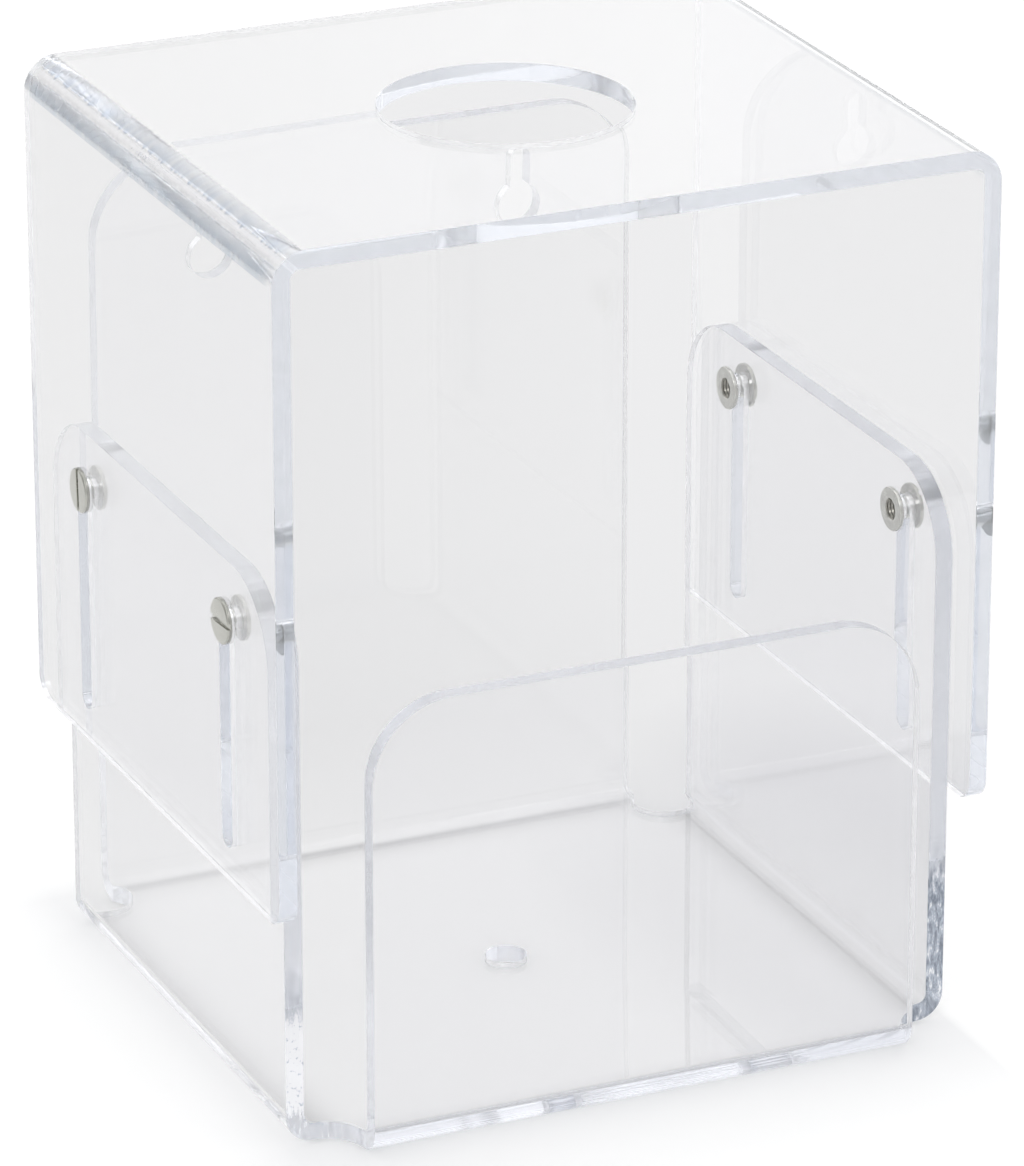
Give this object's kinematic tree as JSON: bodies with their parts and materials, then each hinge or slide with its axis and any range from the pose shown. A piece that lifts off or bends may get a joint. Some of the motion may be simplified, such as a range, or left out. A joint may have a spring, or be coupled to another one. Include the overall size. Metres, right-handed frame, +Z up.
{
  "type": "clear acrylic dispenser box",
  "caption": "Clear folded-sheet tray with a low front lip and keyholed back, under a folded cover with a round top hole that lifts on posts in slots.",
  "frame": {"origin": "on the table, under the middle of the tray's footprint", "axes": "+X to the right seen from the open front, +Y to the back wall, +Z up"},
  "size_m": [0.1622, 0.147, 0.1969],
  "materials": {
    "clear_acrylic": "polished clear cast acrylic sheet, laser-cut and line-bent",
    "nickel_plate": "bright nickel plate over steel"
  },
  "bodies": {
    "tray": {"base_tray": "clear_acrylic"},
    "cover": {"sliding_cover": "clear_acrylic"},
    "post_left_front": {"post_left_front": "nickel_plate"},
    "screw_left_front": {"screw_left_front": "nickel_plate"},
    "post_left_back": {"post_left_back": "nickel_plate"},
    "screw_left_back": {"screw_left_back": "nickel_plate"},
    "post_right_front": {"post_right_front": "nickel_plate"},
    "screw_right_front": {"screw_right_front": "nickel_plate"},
    "post_right_back": {"post_right_back": "nickel_plate"},
    "screw_right_back": {"screw_right_back": "nickel_plate"}
  },
  "joints": [
    {"name": "cover_lift", "type": "slide", "parent": "tray", "child": "cover", "axis": [0, 0, 1], "range_m": [0, 0.047]},
    {"name": "post_left_front_float", "type": "slide", "parent": "tray", "child": "post_left_front", "axis": [-1, 0, 0], "range_m": [-0.00005, 0.00015]},
    {"name": "screw_left_front_turn", "type": "hinge", "parent": "post_left_front", "child": "screw_left_front", "pos_m": [-0.08, -0.04135, 0.11], "axis": [-1, 0, 0], "continuous": true},
    {"name": "post_left_back_float", "type": "slide", "parent": "tray", "child": "post_left_back", "axis": [-1, 0, 0], "range_m": [-0.00005, 0.00015]},
    {"name": "screw_left_back_turn", "type": "hinge", "parent": "post_left_back", "child": "screw_left_back", "pos_m": [-0.08, 0.03815, 0.11], "axis": [-1, 0, 0], "continuous": true},
    {"name": "post_right_front_float", "type": "slide", "parent": "tray", "child": "post_right_front", "axis": [1, 0, 0], "range_m": [-0.00005, 0.00015]},
    {"name": "screw_right_front_turn", "type": "hinge", "parent": "post_right_front", "child": "screw_right_front", "pos_m": [0.08, -0.04135, 0.11], "axis": [1, 0, 0], "continuous": true},
    {"name": "post_right_back_float", "type": "slide", "parent": "tray", "child": "post_right_back", "axis": [1, 0, 0], "range_m": [-0.00005, 0.00015]},
    {"name": "screw_right_back_turn", "type": "hinge", "parent": "post_right_back", "child": "screw_right_back", "pos_m": [0.08, 0.03815, 0.11], "axis": [1, 0, 0], "continuous": true}
  ]
}
